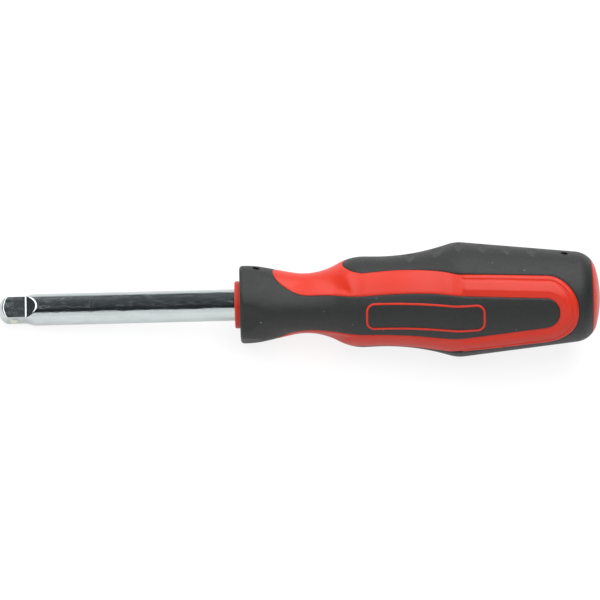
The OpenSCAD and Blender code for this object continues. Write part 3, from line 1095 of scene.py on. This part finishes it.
def floor():
    """White floor under the tool's collar and hip. Metal shows it white too."""
    half, (at, height) = FLOOR_HALF, FLOOR_UNDER
    points = []
    for x, y in ((-half, -half), (half, -half), (half, half), (-half, half)):
        points.append((x, y, height - FLOOR_TILT * (x - at)))
    mesh = bpy.data.meshes.new("floor")
    mesh.from_pydata((np.array(points) * MM).tolist(), [], [(0, 1, 2, 3)])
    material = bpy.data.materials.new("floor_white")
    material.use_nodes = True
    tree = material.node_tree
    tree.nodes.clear()
    path = tree.nodes.new("ShaderNodeLightPath").outputs
    mirrored = either(tree, path["Is Glossy Ray"], path["Is Transmission Ray"])
    shader = by_ray(tree, mirrored, matt(tree, FLOOR_GREY), pale(tree, *FLOOR_IN_METAL))
    shader = by_ray(tree, path["Is Camera Ray"], shader, pale(tree, *FLOOR_IN_VIEW))
    out = tree.nodes.new("ShaderNodeOutputMaterial")
    tree.links.new(shader, out.inputs["Surface"])
    mesh.materials.append(material)
    obj = add_object("floor", mesh)


def world():
    """Studio: white round the horizon, a dim room with marks overhead, darker to the right."""
    studio = bpy.data.worlds.new("studio")
    bpy.context.scene.world = studio
    studio.use_nodes = True
    tree = studio.node_tree
    tree.nodes.clear()
    place = tree.nodes.new("ShaderNodeTexCoord").outputs["Generated"]
    height = tree.nodes.new("ShaderNodeVectorMath")
    height.operation = "DOT_PRODUCT"
    height.inputs[1].default_value = (0.0, 0.06, 1.0)
    tree.links.new(place, height.inputs[0])
    horizon = ramp(tree, height.outputs["Value"], [
        (0.0, (1.0, 1.0, 1.0)),
        (0.38, (0.92, 0.94, 0.94)),
        (0.48, (0.0, 0.0, 0.0)),
    ])
    split = tree.nodes.new("ShaderNodeSeparateXYZ")
    tree.links.new(place, split.inputs["Vector"])
    marks = tree.nodes.new("ShaderNodeMath")
    marks.operation = "ADD"
    tree.links.new(add_noise(tree, place, 13, 5, 0.6, (2.0, 1.0, 1.0)), marks.inputs[0])
    towards_back = spread(tree, split.outputs["Y"], -0.7, 0.7, -0.12, 0.12)
    tree.links.new(towards_back, marks.inputs[1])
    room_marks = ramp(tree, marks.outputs["Value"], [
        (0.38, (0.012, 0.015, 0.017)),
        (0.72, (0.15, 0.165, 0.17)),
    ])
    whole = tree.nodes.new("ShaderNodeMix")
    whole.data_type = "RGBA"
    whole.blend_type = "LIGHTEN"
    whole.inputs["Factor"].default_value = 1.0
    tree.links.new(horizon, whole.inputs["A"])
    tree.links.new(room_marks, whole.inputs["B"])
    room = tree.nodes.new("ShaderNodeBackground")
    tree.links.new(whole.outputs["Result"], room.inputs["Color"])
    to_right = spread(tree, split.outputs["X"], 0.45, 0.85, 1.0, 0.2)
    tree.links.new(to_right, room.inputs["Strength"])
    out = tree.nodes.new("ShaderNodeOutputWorld")
    tree.links.new(room.outputs["Background"], out.inputs["Surface"])


def ceiling_strip(name, near, far, level):
    """Long soft lamp overhead, across the tool, between two places along X in metres."""
    lamp = bpy.data.lights.new(name, "AREA")
    lamp.shape = "RECTANGLE"
    lamp.size, lamp.size_y = abs(far - near), STRIP_L
    lamp.energy = level * math.pi * lamp.size * lamp.size_y
    add_object(name, lamp).location = ((near + far) / 2, STRIP_Y, STRIP_Z)


def camera():
    """Long lens, looking down at the tool from its panel side, with a slight roll."""
    right = Vector((1, 0, 0))
    back = Vector((0, -math.cos(CAMERA_ELEVATION), math.sin(CAMERA_ELEVATION)))
    up = back.cross(right)
    c, s = math.cos(CAMERA_ROLL), math.sin(CAMERA_ROLL)
    across, upright = right * c - up * s, right * s + up * c
    data = bpy.data.cameras.new("camera")
    data.sensor_width = SENSOR_W
    data.lens = SENSOR_W * CAMERA_RANGE / VIEW_W
    data.clip_start, data.clip_end = 0.05, 20.0
    obj = add_object("camera", data)
    spot = AIM + upright * AIM_LIFT + back * CAMERA_RANGE
    turn = Matrix((across, upright, back)).transposed()
    obj.matrix_world = Matrix.Translation(spot * MM) @ turn.to_4x4()
    bpy.context.scene.camera = obj


handle_skins()
field_frame()
core()
drive_shaft()
detent_ball()
coil_spring()
floor()
world()
ceiling_strip("strip_left", -0.34, -1.50, 3.1)
ceiling_strip("strip_right", 0.34, 2.00, 3.4)
camera()
bpy.context.scene.view_settings.view_transform = "Standard"
